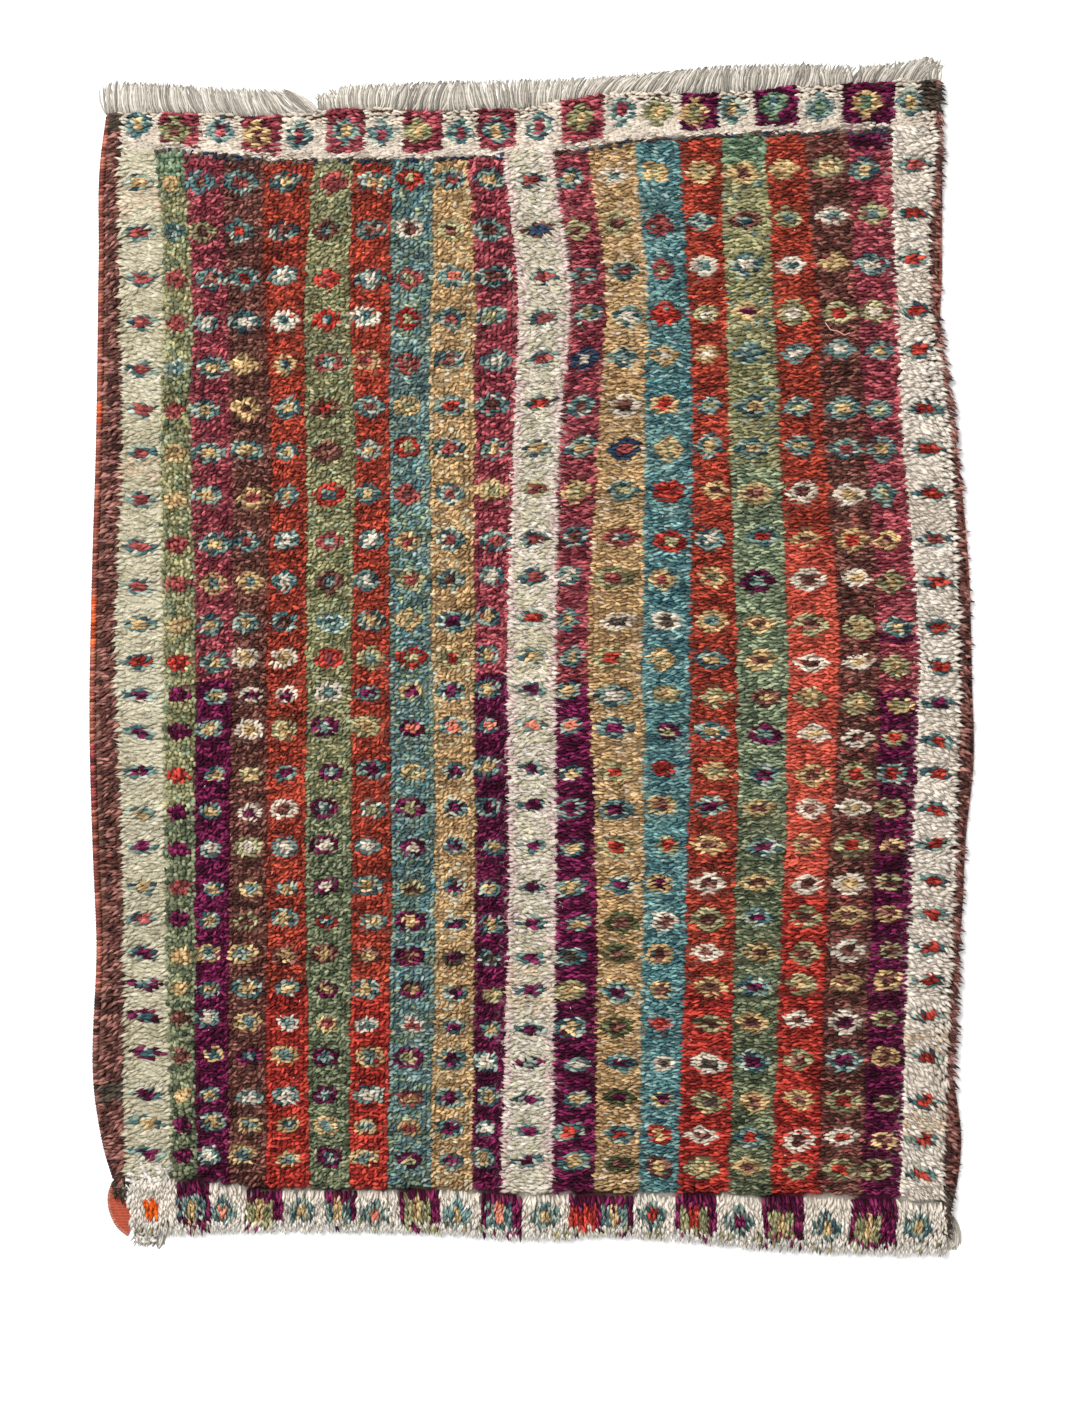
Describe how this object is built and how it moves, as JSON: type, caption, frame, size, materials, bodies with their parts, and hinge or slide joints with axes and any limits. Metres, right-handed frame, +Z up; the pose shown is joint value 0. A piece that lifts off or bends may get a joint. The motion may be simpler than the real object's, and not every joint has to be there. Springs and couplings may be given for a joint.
{
  "type": "turkish long-pile rug",
  "caption": "Flat, rectangular, hand-knotted long-pile wool rug with rosette stripes, overcast sides and a short warp fringe at one end, lying pile up.",
  "frame": {"origin": "on the floor, under the middle of the whole outline with its fringe", "axes": "+Z up out of the pile, +Y towards the fringed end, +X to the right as seen from above with the fringe at the top"},
  "size_m": [1.1215, 1.5123, 0.0188],
  "materials": {
    "pile": "long wool pile in many dyed yarns, soft sheen",
    "overcast": "wool yarn wrapped closely round the side warps",
    "warp": "undyed spun wool warp ends",
    "hem": "flat-woven wool"
  },
  "bodies": {
    "root": {"rug_body": "pile", "selvedge_left": "overcast", "selvedge_right": "overcast", "fringe_top": "warp", "corner_hem": "hem", "warp_ends_left": "warp", "warp_ends_right": "warp"}
  },
  "joints": []
}
